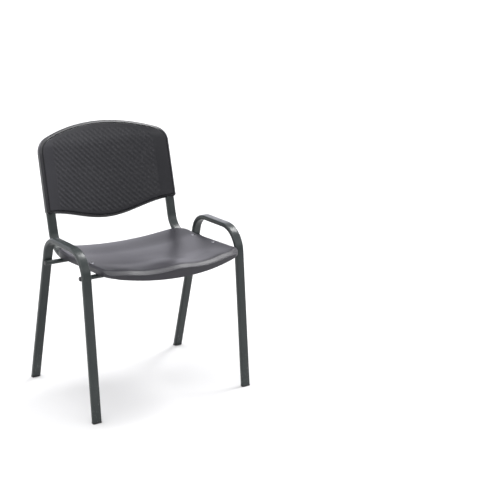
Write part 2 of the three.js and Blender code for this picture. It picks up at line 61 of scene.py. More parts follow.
def place(x, y, z):
    return Vector((x * mm, y * mm + shiftY, z * mm))


def smooth(value, low, high):
    share = min(max((value - low) / (high - low), 0), 1)
    return share * share * (3 - 2 * share)


def blend(a, b, share):
    return a + (b - a) * share


def addNode(tree, kind, **inputs):
    node = tree.nodes.new(kind)
    for key, value in inputs.items():
        node.inputs[key.replace("_", " ")].default_value = value
    return node


def objectNoise(tree, scale, detail=3.0, stretch=(1, 1, 1)):
    where = tree.nodes.new("ShaderNodeTexCoord")
    mapping = addNode(tree, "ShaderNodeMapping", Scale=stretch)
    noise = addNode(tree, "ShaderNodeTexNoise", Scale=scale, Detail=detail)
    tree.links.new(where.outputs["Object"], mapping.inputs["Vector"])
    tree.links.new(mapping.outputs["Vector"], noise.inputs["Vector"])
    return noise.outputs["Fac"]


def ramp(tree, source, stops):
    node = tree.nodes.new("ShaderNodeValToRGB")
    elements = node.color_ramp.elements
    while len(elements) < len(stops):
        elements.new(0.5)
    for element, (position, color) in zip(elements, stops):
        element.position = position
        element.color = (*color, 1) if isinstance(color, tuple) else (color, color, color, 1)
    tree.links.new(source, node.inputs["Fac"])
    return node.outputs["Color"]


def mapRange(tree, source, *limits):
    node = tree.nodes.new("ShaderNodeMapRange")
    for key, value in zip(("From Min", "From Max", "To Min", "To Max"), limits):
        node.inputs[key].default_value = value
    tree.links.new(source, node.inputs["Value"])
    return node.outputs["Result"]


def calc(tree, operation, *values):
    node = tree.nodes.new("ShaderNodeMath")
    node.operation = operation
    for socket, value in zip(node.inputs, values):
        if isinstance(value, (int, float)):
            socket.default_value = value
        else:
            tree.links.new(value, socket)
    return node.outputs["Value"]


def mixColor(tree, factor, a, c, kind="MIX"):
    node = tree.nodes.new("ShaderNodeMix")
    node.data_type = "RGBA"
    node.blend_type = kind
    for socket, value in zip((node.inputs[0], node.inputs[6], node.inputs[7]), (factor, a, c)):
        if isinstance(value, tuple):
            socket.default_value = (*value, 1)
        elif isinstance(value, (int, float)):
            socket.default_value = value
        else:
            tree.links.new(value, socket)
    return node.outputs[2]


def makeMaterial(name, tone, gloss, grain, specular=0.5, metallic=0.0, marks=None, markColor=None):
    # tone: noise scale, detail and two ramp stops; gloss: noise scale and two roughnesses
    # grain: noise scale and stretch, strength and height of the bump
    # marks: how far the mark colour shows, and what is added to the roughness
    toneScale, toneDetail, darkStop, lightStop = tone
    glossScale, smoothest, roughest = gloss
    grainScale, stretch, strength, height = grain
    material = bpy.data.materials.new(name)
    material.use_nodes = True
    tree = material.node_tree
    shader = tree.nodes["Principled BSDF"]
    shader.inputs["Base Color"].default_value = (*lightStop[1], 1)
    shader.inputs["Roughness"].default_value = roughest
    shader.inputs["Metallic"].default_value = metallic
    shader.inputs["Specular IOR Level"].default_value = specular
    color = ramp(tree, objectNoise(tree, toneScale, toneDetail), [darkStop, lightStop])
    roughness = mapRange(tree, objectNoise(tree, glossScale, 3), 0.3, 0.7, smoothest, roughest)
    if marks:
        lighter, duller = marks(tree)
        color = mixColor(tree, lighter, color, markColor)
        roughness = calc(tree, "ADD", roughness, duller)
    tree.links.new(color, shader.inputs["Base Color"])
    tree.links.new(roughness, shader.inputs["Roughness"])
    bump = addNode(tree, "ShaderNodeBump", Strength=strength, Distance=height)
    tree.links.new(objectNoise(tree, grainScale, 2, stretch), bump.inputs["Height"])
    tree.links.new(bump.outputs["Normal"], shader.inputs["Normal"])
    return material


def lowScuffs(tree):
    # scuffs low on the legs
    where = tree.nodes.new("ShaderNodeTexCoord")
    split = tree.nodes.new("ShaderNodeSeparateXYZ")
    tree.links.new(where.outputs["Object"], split.inputs["Vector"])
    low = mapRange(tree, split.outputs["Z"], 0.0, 0.16, 1.0, 0.0)
    specks = ramp(tree, objectNoise(tree, 260, 4, (1, 1, 0.35)), [(0.60, 0.0), (0.68, 1.0)])
    scuffs = calc(tree, "MULTIPLY", low, specks)
    return calc(tree, "MULTIPLY", scuffs, 0.55), calc(tree, "MULTIPLY", scuffs, 0.2)


def sittingMarks(tree):
    # faint scratches from front to rear
    scratches = ramp(tree, objectNoise(tree, 60, 5, (9, 0.6, 1)), [(0.62, 0.0), (0.70, 1.0)])
    return calc(tree, "MULTIPLY", scratches, 0.16), calc(tree, "MULTIPLY", scratches, 0.06)


def wovenDust(tree):
    # dust in the woven field, which is also more matt than the border
    woven = tree.nodes.new("ShaderNodeAttribute")
    woven.attribute_name = "woven"
    rubbed = ramp(tree, objectNoise(tree, 170, 4), [(0.55, 0.0), (0.75, 1.0)])
    dust = calc(tree, "MULTIPLY", rubbed, woven.outputs["Fac"])
    return calc(tree, "MULTIPLY", dust, 0.22), calc(tree, "MULTIPLY", woven.outputs["Fac"], 0.10)


evenly = (1, 1, 1)
framePaint = makeMaterial(  # satin powder coat with a slight orange peel
    "framePaint", tone=(14, 2, (0.3, (0.018, 0.023, 0.023)), (0.7, (0.023, 0.028, 0.028))),
    gloss=(45, 0.28, 0.36), grain=(620, evenly, 0.10, 0.0006), specular=0.35,
    marks=lowScuffs, markColor=(0.13, 0.135, 0.13),
)
seatPlastic = makeMaterial(  # fine moulded grain
    "seatPlastic", tone=(9, 3, (0.3, (0.019, 0.0185, 0.023)), (0.7, (0.024, 0.023, 0.028))),
    gloss=(5, 0.36, 0.41), grain=(1500, evenly, 0.12, 0.0003), specular=0.32,
    marks=sittingMarks, markColor=(0.12, 0.12, 0.13),
)
backPlastic = makeMaterial(
    "backPlastic", tone=(11, 3, (0.3, (0.009, 0.009, 0.012)), (0.7, (0.012, 0.012, 0.015))),
    gloss=(30, 0.29, 0.35), grain=(1300, evenly, 0.14, 0.0003), specular=0.37,
    marks=wovenDust, markColor=(0.09, 0.09, 0.10),
)
plugPlastic = makeMaterial(  # worn lighter in places
    "plugPlastic", tone=(220, 4, (0.5, (0.010, 0.010, 0.011)), (0.8, (0.035, 0.035, 0.036))),
    gloss=(90, 0.42, 0.62), grain=(900, evenly, 0.2, 0.0003),
)
screwSteel = makeMaterial(  # bright zinc with turned marks
    "screwSteel", tone=(420, 3, (0.3, (0.22, 0.22, 0.24)), (0.7, (0.38, 0.38, 0.40))),
    gloss=(800, 0.2, 0.36), grain=(1600, (1, 1, 6), 0.15, 0.0002), metallic=1.0,
)
print("materials made")


def meshObject(name, points, faces=(), edges=(), material=None):
    mesh = bpy.data.meshes.new(name)
    mesh.from_pydata([tuple(p) for p in points], list(edges), [tuple(f) for f in faces])
    if material:
        mesh.materials.append(material)
    piece = bpy.data.objects.new(name, mesh)
    bpy.context.scene.collection.objects.link(piece)
    return piece


def newTree(name, inputs, kinds):
    # a tree with named inputs that ends in Realize Instances and Set Material
    tree = bpy.data.node_groups.new(name, "GeometryNodeTree")
    for label, kind in {"Geometry": "Geometry", **inputs, "Material": "Material"}.items():
        tree.interface.new_socket(name=label, in_out="INPUT", socket_type="NodeSocket" + kind)
    tree.interface.new_socket(name="Geometry", in_out="OUTPUT", socket_type="NodeSocketGeometry")
    ends = dict(given="NodeGroupInput", result="NodeGroupOutput", real="RealizeInstances",
                painted="SetMaterial")
    nodes = {}
    for key, kind in {**kinds, **ends}.items():
        nodes[key] = tree.nodes.new(kind if "Node" in kind else "GeometryNode" + kind)
    wire(tree, nodes, "real.Geometry > painted.Geometry", "given.Material > painted.Material",
         "painted.Geometry > result.Geometry")
    return tree, nodes


def wire(tree, nodes, *links):
    # each link reads "node.output > node.input"
    for ends in links:
        (source, out), (target, into) = (end.split(".") for end in ends.split(" > "))
        tree.links.new(nodes[source].outputs[out], nodes[target].inputs[into])


def settle(piece):
    # the evaluated result becomes the piece's own plain mesh
    depsgraph = bpy.context.evaluated_depsgraph_get()
    mesh = bpy.data.meshes.new_from_object(piece.evaluated_get(depsgraph))
    old = piece.data
    piece.modifiers.clear()
    piece.data = mesh
    mesh.name = piece.name
    bpy.data.meshes.remove(old)
    return piece


def useTree(piece, tree, values):
    modifier = piece.modifiers.new(tree.name, "NODES")
    modifier.node_group = tree
    for socket in tree.interface.items_tree:
        if socket.in_out == "INPUT" and socket.name in values:
            modifier[socket.identifier] = values[socket.name]
    settle(piece)


def editMesh(piece, work):
    shape = bmesh.new()
    shape.from_mesh(piece.data)
    work(shape)
    shape.to_mesh(piece.data)
    shape.free()


def closeSeams(piece, distance=0.00002):
    def work(shape):
        bmesh.ops.remove_doubles(shape, verts=shape.verts, dist=distance)
        bmesh.ops.dissolve_degenerate(shape, edges=shape.edges, dist=distance / 4)
        bmesh.ops.recalc_face_normals(shape, faces=shape.faces)
        closed = all(edge.is_manifold for edge in shape.edges)
        if closed and shape.calc_volume(signed=True) < 0:
            bmesh.ops.reverse_faces(shape, faces=shape.faces)
    editMesh(piece, work)


def addWall(piece, thickness):
    wall = piece.modifiers.new("wall", "SOLIDIFY")
    wall.thickness = thickness * mm
    wall.offset = -1
    wall.use_even_offset = True
    wall.use_quality_normals = True
    settle(piece)


def smoothShade(piece, angle=38):
    piece.data.shade_smooth()
    piece.data.set_sharp_from_angle(angle=math.radians(angle))


def cutWith(piece, cutters):
    for cutter in cutters:
        modifier = piece.modifiers.new("cut", "BOOLEAN")
        modifier.operation = "DIFFERENCE"
        modifier.solver = "EXACT"
        modifier.object = cutter
    settle(piece)
    for cutter in cutters:
        bpy.data.objects.remove(cutter)


def finishPiece(piece, nodes=(), angle=38):
    smoothShade(piece, angle)
    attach(piece, "root")
    if nodes:
        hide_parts(*nodes)


def makeSweepTree():
    tree, nodes = newTree("sweptTube", {
        "Width": "Float", "Thickness": "Float", "Corner": "Float",
        "Edge Steps": "Int", "Bend Steps": "Int", "Caps": "Bool",
    }, dict(
        line="MeshToCurve", bend="InputNamedAttribute", rounded="FilletCurve",
        section="CurvePrimitiveQuadrilateral", edges="FilletCurve", sweep="CurveToMesh",
    ))
    nodes["bend"].data_type = "FLOAT"
    nodes["bend"].inputs["Name"].default_value = "bend"
    nodes["rounded"].mode = nodes["edges"].mode = "POLY"
    wire(tree, nodes,
         "given.Geometry > line.Mesh", "line.Curve > rounded.Curve", "bend.Attribute > rounded.Radius",
         "given.Bend Steps > rounded.Count", "given.Width > section.Width",
         "given.Thickness > section.Height", "section.Curve > edges.Curve",
         "given.Corner > edges.Radius", "given.Edge Steps > edges.Count",
         "rounded.Curve > sweep.Curve", "edges.Curve > sweep.Profile Curve",
         "given.Caps > sweep.Fill Caps", "sweep.Mesh > real.Geometry")
    return tree


sweptTube = makeSweepTree()


def skin(name, rings, material, distance=0.00002, endless=False):
    # joins each ring of points to the next; a ring of one point closes an end
    points, starts = [], []
    for ring in rings:
        starts.append(len(points))
        points += ring
    pairs = [(k, k + 1) for k in range(len(rings) - 1)]
    if endless:
        pairs.append((len(rings) - 1, 0))
    count = max(len(ring) for ring in rings)
    faces = []
    for a, c in pairs:
        for i in range(count):
            around = ((a, i), (a, i + 1), (c, i + 1), (c, i))
            faces.append(tuple(dict.fromkeys(starts[r] + k % len(rings[r]) for r, k in around)))
    piece = meshObject(name, points, faces, material=material)
    closeSeams(piece, distance)
    return piece


def sweepLine(name, corners, bends, width, thick, material, corner=0.49, caps=False, edgeSteps=None):
    edges = [(i, i + 1) for i in range(len(corners) - 1)]
    piece = meshObject(name, corners, edges=edges)
    bend = piece.data.attributes.new("bend", "FLOAT", "POINT")
    bend.data.foreach_set("value", [b * mm for b in bends])
    useTree(piece, sweptTube, {
        "Width": width * mm, "Thickness": thick * mm, "Corner": corner * thick * mm,
        "Edge Steps": edgeSteps or tubing["edgeSteps"],
        "Bend Steps": tubing["bendSteps"], "Caps": caps, "Material": material,
    })
    closeSeams(piece)
    return piece


sides = (("left", -1), ("right", 1))
t = tubing
frontRun = (t["frontCorner"][0] - t["frontFootY"]) / t["frontCorner"][1]
rearRun = (t["rearCorner"][0] - t["rearFootY"]) / t["rearCorner"][1]
reach = t["thick"] / 2 + gap + t["crossDiameter"] / 2
frontCrossY = t["frontFootY"] + frontRun * t["frontCrossZ"] + reach * math.hypot(1, frontRun)
rearCrossY = t["rearFootY"] + rearRun * t["rearCrossZ"] - reach * math.hypot(1, rearRun)
railSlope = (t["rearCrossZ"] - t["frontCrossZ"]) / (rearCrossY - frontCrossY)
lean = math.radians(t["lean"])


def railZ(y):
    return t["frontCrossZ"] + reach * math.hypot(1, railSlope) + railSlope * (y - frontCrossY)


def alongUpright(distance):
    y = t["railCornerY"]
    return y + distance * math.sin(lean), railZ(y) + distance * math.cos(lean)


def makeArch(side, sign):
    x, below = sign * t["archX"], 30  # the legs run on below the floor, then are cut level
    corners = [
        place(x, t["frontFootY"] - frontRun * below, -below),
        place(x, *t["frontCorner"]),
        place(x, *t["rearCorner"]),
        place(x, t["rearFootY"] - rearRun * below, -below),
    ]
    bends = [0, t["frontBend"], t["rearBend"], 0]
    arch = sweepLine(side + "SideArch", corners, bends, t["width"], t["thick"], framePaint, t["corner"])

    def level(shape):
        everything = shape.verts[:] + shape.edges[:] + shape.faces[:]
        plane = dict(plane_co=(0, 0, t["sole"] * mm), plane_no=(0, 0, 1))
        bmesh.ops.bisect_plane(shape, geom=everything, clear_inner=True, **plane)
    editMesh(arch, level)
    addWall(arch, t["wall"])
    finishPiece(arch, [side + "_side_arch"])


def railLine(sign, past=0):
    x = sign * t["railX"]
    return [
        place(x, t["railFrontY"], railZ(t["railFrontY"])),
        place(x, t["railCornerY"], railZ(t["railCornerY"])),
        place(x, *alongUpright(t["uprightLength"] + past)),
    ]


def makeRail(side, sign):
    size, bends = (t["width"], t["thick"]), [0, t["railBend"], 0]
    rail = sweepLine(side + "RailUpright", railLine(sign), bends, *size, framePaint, t["corner"])
    addWall(rail, t["wall"])
    finishPiece(rail, [side + "_rail_upright"])


def uprightRoom(sign, room=0.6):
    # space kept free round the rail and upright, and a little past its top
    size, bends = (t["width"] + 2 * room, t["thick"] + 2 * room), [0, t["railBend"], 0]
    return sweepLine("uprightRoom", railLine(sign, 4), bends, *size, None, t["corner"], caps=True)


for side, sign in sides:
    makeArch(side, sign)
    makeRail(side, sign)

for name, y, z in (("front", frontCrossY, t["frontCrossZ"]), ("rear", rearCrossY, t["rearCrossZ"])):
    ends = [place(-t["crossHalf"], y, z), place(t["crossHalf"], y, z)]
    across = t["crossDiameter"]
    tube = sweepLine(name + "CrossTube", ends, [0, 0], across, across, framePaint)
    addWall(tube, t["crossWall"])
    finishPiece(tube, [name + "_cross_tube"])
print("tubes swept")

welds = dict(
    bead=1.9, pitch=2.3, halfLength=10.5, off=0.9, angle=52, seed=7, core=0.86,
    smallest=(0.62, 0.92, 0.92), largest=(0.78, 1.10, 1.10),
)


def makeWeldTree():
    # uneven drops along each line, on a round core
    tree, nodes = newTree("weldBead", {
        "Bead Radius": "Float", "Pitch": "Float", "Core Share": "Float", "Seed": "Int",
    }, dict(
        line="MeshToCurve", spaced="ResampleCurve", drop="MeshIcoSphere", ripple="InstanceOnPoints",
        size="FunctionNodeRandomValue", core="CurvePrimitiveCircle", run="CurveToMesh",
        both="JoinGeometry",
    ))
    nodes["spaced"].mode = "LENGTH"
    nodes["drop"].inputs["Subdivisions"].default_value = 2
    nodes["size"].data_type = "FLOAT_VECTOR"
    nodes["size"].inputs["Min"].default_value = welds["smallest"]
    nodes["size"].inputs["Max"].default_value = welds["largest"]
    nodes["core"].inputs["Resolution"].default_value = 12
    nodes["run"].inputs["Fill Caps"].default_value = True
    wire(tree, nodes,
         "given.Geometry > line.Mesh", "line.Curve > spaced.Curve", "given.Pitch > spaced.Length",
         "given.Bead Radius > drop.Radius", "spaced.Curve > ripple.Points",
         "drop.Mesh > ripple.Instance", "given.Seed > size.Seed", "size.Value > ripple.Scale",
         "spaced.Curve > run.Curve", "core.Curve > run.Profile Curve",
         "ripple.Instances > both.Geometry", "run.Mesh > both.Geometry", "both.Geometry > real.Geometry")
    given = nodes["given"].outputs
    thin = calc(tree, "MULTIPLY", given["Bead Radius"], given["Core Share"])
    tree.links.new(thin, nodes["core"].inputs["Radius"])
    return tree


def weldLines():
    # each joint has a bead on either side of the line where the tubes touch
    angle, away = math.radians(welds["angle"]), t["crossDiameter"] / 2 + welds["off"]
    half = welds["halfLength"]
    joints = []
    crossings = (
        (frontCrossY, t["frontCrossZ"], frontRun, -1),
        (rearCrossY, t["rearCrossZ"], rearRun, 1),
    )
    for sign in (-1, 1):
        for y, z, run, facing in crossings:
            onArch = Vector((run, 1)).normalized()
            joints.append((sign * t["archX"], y, z, Vector((onArch.y, -onArch.x)) * facing, onArch))
        onRail = Vector((1, railSlope)).normalized()
        for y, z, _, _ in crossings:
            joints.append((sign * t["railX"], y, z, Vector((-onRail.y, onRail.x)), onRail))
    lines = []
    for x, y, z, touch, along in joints:
        for way in (-1, 1):
            off = (touch * math.cos(angle) + along * (way * math.sin(angle))) * away
            lines.append([place(x + end, y + off.x, z + off.y) for end in (-half, half)])
    return lines


beadLines = weldLines()
points = [p for pair in beadLines for p in pair]
edges = [(2 * i, 2 * i + 1) for i in range(len(beadLines))]
beads = meshObject("weldBeads", points, edges=edges)
useTree(beads, makeWeldTree(), {
    "Bead Radius": welds["bead"] * mm, "Pitch": welds["pitch"] * mm, "Core Share": welds["core"],
    "Seed": welds["seed"], "Material": framePaint,
})
finishPiece(beads, angle=60)
print("welds laid")

plugs = dict(
    cornerSteps=6, footSpread=1.0, footStem=28, insideTube=1.8,
    sole=(  # inset from the outline and height, up the outside of a foot
        (6.2, 0.9), (5.6, 0.7), (5.2, 0.0), (1.5, 0.0), (0.7, 0.35), (0.15, 1.1), (0.0, 1.9),
    ),
    crossPlug=(  # from inside the tube out to the face
        (2.3, -14.0), (1.5, -13.0), (1.5, 0.0), (0.0, 0.0), (0.0, 1.0), (0.25, 1.5), (0.8, 1.9),
        (2.4, 2.1), (4.5, 2.2),
    ),
    railPlug=(
        (2.6, -14.0), (1.8, -13.0), (1.8, 0.3), (0.0, 0.3), (0.0, 1.6), (0.3, 2.1), (1.0, 2.4),
        (3.0, 2.5), (5.5, 2.5),
    ),
)


def plugRing(width, thick, corner, inset):
    # rectangle with round corners, in the ring's own u, w
    radius = max(corner - inset, 0.3)
    u, w = width / 2 - inset - radius, thick / 2 - inset - radius
    steps = plugs["cornerSteps"]
    ring = []
    for start, centreU, centreW in ((-90, u, -w), (0, u, w), (90, -u, w), (180, -u, -w)):
        for k in range(steps + 1):
            a = math.radians(start + 90 * k / steps)
            ring.append((centreU + radius * math.cos(a), centreW + radius * math.sin(a)))
    return ring


def loftPlug(name, origin, axes, width, thick, corner, profile, node):
    # profile: inset from the outline and height along the axis, closed by a point at each end
    axisU, axisW, axisUp = axes
    rings = [[origin + (axisU * u + axisW * w + axisUp * height) * mm
              for u, w in plugRing(width, thick, corner, inset)] for inset, height in profile]
    foot, top = ([origin + axisUp * (height * mm)] for _, height in (profile[0], profile[-1]))
    piece = skin(name, [foot, *rings, top], plugPlastic)
    finishPiece(piece, [node], angle=40)


def fitPlugs(side, sign):
    across, corner = Vector((1, 0, 0)), t["corner"] * t["thick"]
    spread = plugs["footSpread"]
    top = t["sole"] - 0.5
    inner, stem = plugs["insideTube"] + spread / 2, plugs["footStem"]
    foot = [
        *plugs["sole"], (0.0, top - 0.7), (0.2, top - 0.2), (0.7, top), (inner, top), (inner, stem - 2),
        (inner + 0.8, stem),
    ]
    for end, y, run in (("front", t["frontFootY"], frontRun), ("rear", t["rearFootY"], rearRun)):
        loftPlug(
            end + side.capitalize() + "FootPlug", place(sign * t["archX"], y, 0),
            (across, Vector((0, 1, 0)), Vector((0, run, 1))), t["width"] + spread,
            (t["thick"] + spread) * math.hypot(1, run), corner + spread / 2, foot,
            end + "_" + side + "_foot_plug",
        )
    wide = t["crossDiameter"]
    for end, y, z in (("front", frontCrossY, t["frontCrossZ"]), ("rear", rearCrossY, t["rearCrossZ"])):
        loftPlug(
            end + "CrossPlug" + side.capitalize(), place(sign * (t["crossHalf"] + gap), y, z),
            (Vector((0, sign, 0)), Vector((0, 0, 1)), across * sign), wide, wide, wide / 2,
            plugs["crossPlug"], end + "_cross_plug_" + side,
        )
    forward = Vector((0, -1, -railSlope)).normalized()
    loftPlug(
        side + "RailPlug", place(sign * t["railX"], t["railFrontY"], railZ(t["railFrontY"])),
        (across, forward.cross(across), forward), t["width"], t["thick"], corner, plugs["railPlug"],
        side + "_rail_plug",
    )
    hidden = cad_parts[side + "_upright_plug"].data.materials
    hidden.clear()
    hidden.append(plugPlastic)


for side, sign in sides:
    fitPlugs(side, sign)
print("plugs fitted")

seat = dict(
    halfWidth=238.5, frontY=-236, frontBulge=39, rearY=122, rearBulge=5, frontCorner=40, rearCorner=61,
    steps=dict(front=30, frontCorner=12, side=30, rearCorner=14, rear=24, across=26), crowding=0.85,
    midZ=442.3, tilt=0.066, dish=19.3, dishAt=220, rearRise=10, pommel=7, pommelWidth=52,
    thighDip=3, thighAt=120, thighWidth=60, frontRise=7.5, riseFrom=(120, 215), riseSides=(150, 230),
    frontZone=(-230, -60), rearZone=(10, 125),
    thick=3.6, rimFront=25.2, rimSide=21, rimRear=6, rimShares=(0.35, 0.7, 0.93, 1.0),
    rollSide=9, rollFront=30, dropSide=7, dropFront=8, screwY=(-107, 16), screwSunk=1.8, centreY=-40,
    pocket=((0, -9), (3, -9), (3, 0), (6.2, 0), (6.6, 0.6), (7.6, 1.9), (7.9, 9), (0, 9)),
    frontEdge=(  # share of the roll's width and of its drop, ending in a small bead over the rim
        (1, 0), (0.83, 0.01), (0.70, 0.05), (0.60, 0.13), (0.517, 0.25), (0.433, 0.44),
        (0.35, 0.645), (0.275, 0.83), (0.22, 0.96), (0.185, 1.06), (0.15, 1.12), (0.12, 1.13),
        (0.095, 1.10), (0.065, 1.085), (0.033, 1.10), (0.01, 1.16), (0, 1.28),
    ),
)
s = seat


def seatBase(x, y):
    return s["midZ"] - s["tilt"] * y + s["dish"] * (x / s["dishAt"]) ** 2


def seatHeight(x, y):
    frontness = 1 - smooth(y, *s["frontZone"])
    pommel = s["pommel"] * math.exp(-((x / s["pommelWidth"]) ** 2))
    dip = s["thighDip"] * math.exp(-(((abs(x) - s["thighAt"]) / s["thighWidth"]) ** 2))
    front = s["frontRise"] * smooth(-y, *s["riseFrom"]) * (1 - smooth(abs(x), *s["riseSides"]))
    rear = s["rearRise"] * smooth(y, *s["rearZone"])
    return seatBase(x, y) + rear + front + frontness * (pommel - dip)


def arcPoints(centre, radius, start, end, count):
    angles = [start + (end - start) * k / count for k in range(count + 1)]
    return [Vector((centre[0] + radius * math.cos(a), centre[1] + radius * math.sin(a))) for a in angles]


def roundCorner(before, at, after, radius, count):
    a, b = (before - at).normalized(), (after - at).normalized()
    half = a.angle(b) / 2
    centre = at + (a + b).normalized() * (radius / math.sin(half))
    first = at + a * (radius / math.tan(half)) - centre
    last = at + b * (radius / math.tan(half)) - centre
    start, end = math.atan2(first.y, first.x), math.atan2(last.y, last.x)
    while end < start:
        end += 2 * math.pi
    return arcPoints(centre, radius, start, end, count)


def outwardNormals(loop):
    normals = []
    for i in range(len(loop)):
        along = (loop[(i + 1) % len(loop)] - loop[i - 1]).normalized()
        normals.append(Vector((along.y, -along.x)))
    return normals


def seatOutline():
    wide, frontY, rearY, steps = s["halfWidth"], s["frontY"], s["rearY"], s["steps"]
    frontCorner, rearCorner = Vector((wide, frontY)), Vector((wide, rearY))
    frontSide = frontCorner + Vector((-1, -2 * s["frontBulge"] / wide))
    rearSide = rearCorner + Vector((-1, 2 * s["rearBulge"] / wide))
    frontRound = roundCorner(frontSide, frontCorner, rearCorner, s["frontCorner"], steps["frontCorner"])
    rearRound = roundCorner(frontCorner, rearCorner, rearSide, s["rearCorner"], steps["rearCorner"])

    def bulge(end, tip, count):
        return [Vector((end.x * k / count, blend(tip, end.y, (k / count) ** 2))) for k in range(count)]
    half = bulge(frontRound[0], frontY - s["frontBulge"], steps["front"]) + frontRound
    half += [frontRound[-1].lerp(rearRound[0], k / steps["side"]) for k in range(1, steps["side"])]
    half += rearRound + bulge(rearRound[-1], rearY + s["rearBulge"], steps["rear"])[::-1]
    return half + [Vector((-p.x, p.y)) for p in reversed(half[1:-1])]


def rimDepth(outY):
    front, rear = smooth(-outY, 0.94, 1), smooth(outY, 0.1, 0.9)
    return s["rimSide"] + (s["rimFront"] - s["rimSide"]) * front + (s["rimRear"] - s["rimSide"]) * rear


def seatScrewPlaces():
    return [(sign * t["railX"], y) for sign in (-1, 1) for y in s["screwY"]]


def turned(radius, z, segments, shape=None):
    # a ring about the axis, or one point on it; shape gives the radius at each angle
    if radius == 0:
        return [Vector((0, 0, z * mm))]
    angles = [2 * math.pi * k / segments for k in range(segments)]
    radii = [shape(a) if shape else radius for a in angles]
    return [Vector((r * math.cos(a), r * math.sin(a), z)) * mm for a, r in zip(angles, radii)]


def lathe(name, profile, origin, material, turn=None, segments=40):
    # profile: radius and height up the axis
    rings = []
    for radius, height in profile:
        ring = turned(radius, height, segments)
        rings.append([origin + (turn @ p if turn else p) for p in ring])
    return skin(name, rings, material, 0.000005)


def makeSeat():
    loop = seatOutline()
    out = outwardNormals(loop)
    centre = Vector((0, s["centreY"]))
    fronts = [smooth(-n.y, 0.0, 0.97) for n in out]
    across = [blend(s["rollSide"], s["rollFront"], f) for f in fronts]
    down = [blend(s["dropSide"], s["dropFront"], f) for f in fronts]
    inner = [p - n * a for p, n, a in zip(loop, out, across)]
    rings = [[(centre.x, centre.y, seatHeight(centre.x, centre.y))]]
    for k in range(1, s["steps"]["across"]):
        ring = [centre.lerp(p, (k / s["steps"]["across"]) ** s["crowding"]) for p in inner]
        rings.append([(p.x, p.y, seatHeight(p.x, p.y)) for p in ring])
    steps = len(s["frontEdge"]) - 1
    for k, (frontIn, frontDown) in enumerate(s["frontEdge"]):
        a = math.pi / 2 * k / steps  # the sides roll over a quarter circle instead
        ring = []
        for p, n, i, wide, drop, f in zip(loop, out, inner, across, down, fronts):
            share = smooth(f, 0.1, 1)
            q = p - n * (wide * blend(1 - math.sin(a), frontIn, share))
            drop *= blend(1 - math.cos(a), frontDown, share)
            ring.append((q.x, q.y, seatHeight(i.x, i.y) - drop))
        rings.append(ring)
    edge = rings[-1]
    low = [seatBase(p.x, p.y) - rimDepth(n.y) for p, n in zip(loop, out)]
    for share in s["rimShares"]:
        rings.append([(e[0], e[1], blend(e[2], z, share)) for e, z in zip(edge, low)])
    piece = skin("seatMoulding", [[place(*p) for p in ring] for ring in rings], seatPlastic)
    addWall(piece, s["thick"])
    cutters = [uprightRoom(-1), uprightRoom(1)]
    for x, y in seatScrewPlaces():
        bottom = place(x, y, seatHeight(x, y) - s["screwSunk"])
        cutters.append(lathe("pocket", s["pocket"], bottom, None))
    cutWith(piece, cutters)
    finishPiece(piece, ["seat_shell"], angle=32)


makeSeat()
print("seat moulded")

ribs = dict(
    xs=(-150, -90, -30, 30, 90, 150), fromY=-146, toY=52, depth=6.5, thick=2.4, steps=16, sunk=0.8,
    bossBore=3, bossFoot=7, bossTop=8.2,
)


def makeRibs():
    # stiffening ribs under the seat, and a boss over each rail screw
    parts, steps = [], ribs["steps"]
    for x in ribs["xs"]:
        corners = []
        for k in range(steps + 1):
            y = blend(ribs["fromY"], ribs["toY"], k / steps)
            depth = ribs["depth"] * min(1, 0.35 + 0.65 * min(k, steps - k) / 2)  # shallow at both ends
            corners.append(place(x, y, seatHeight(x, y) - s["thick"] + ribs["sunk"] - depth / 2))
        size, straight = (ribs["thick"], ribs["depth"]), [0] * len(corners)
        parts.append(sweepLine("rib", corners, straight, *size, seatPlastic, caps=True, edgeSteps=3))
    for x, y in seatScrewPlaces():
        top = seatHeight(x, y) - s["screwSunk"] - 0.5
        low = railZ(y) + t["thick"] / 2 + 0.7 - top
        bore, foot, wide = ribs["bossBore"], ribs["bossFoot"], ribs["bossTop"]
        profile = [
            (bore, low), (foot, low), (foot + 0.4, low + 0.6), (wide, -1.2), (wide, 0), (bore, 0),
            (bore, low),
        ]
        parts.append(lathe("boss", profile, place(x, y, top), seatPlastic))
    shape = bmesh.new()
    for part in parts:
        shape.from_mesh(part.data)
        bpy.data.objects.remove(part)
    piece = meshObject("seatRibs", [], material=seatPlastic)
    shape.to_mesh(piece.data)
    shape.free()
    finishPiece(piece, angle=40)


makeRibs()

hardware = dict(
    segments=36, seatScrew=dict(head=6.0, height=3.2, shank=2.6, socket=3.0, deep=2.0), below=6,
    backScrew=dict(head=4.9, height=2.6, shank=1.8, socket=2.3, deep=1.6), backLength=10,
    nutAcross=5.4, nutHeight=4.6, nutBore=2.8, washer=0.9, turnStep=0.7,
)


def hexRadius(angle, corner):
    # from the axis to the side of a hexagon
    return corner * math.cos(math.pi / 6) / math.cos(angle % (math.pi / 3) - math.pi / 6)


def makeScrew(name, length, head, height, shank, socket, deep):
    # turned screw with a six-sided socket in its domed head, standing at the origin
    profile = [
        (0, -length), (shank - 0.5, -length), (shank, -length + 0.6), (shank, gap), (head, gap),
        (head, 0.32 * height), (head - 0.25, 0.5 * height), (head * 0.9, 0.72 * height),
        (head * 0.72, 0.9 * height), (head * 0.55, height),
    ]
    rings = [turned(radius, z, hardware["segments"]) for radius, z in profile]
    for corner, z in ((socket * 1.08, height - 0.05), (socket, height - 0.3), (socket, height - deep)):
        rings.append(turned(corner, z, hardware["segments"], lambda a: hexRadius(a, corner)))
    rings.append(turned(0, height - deep - 0.5, 1))
    return skin(name, rings, screwSteel, 0.000002)


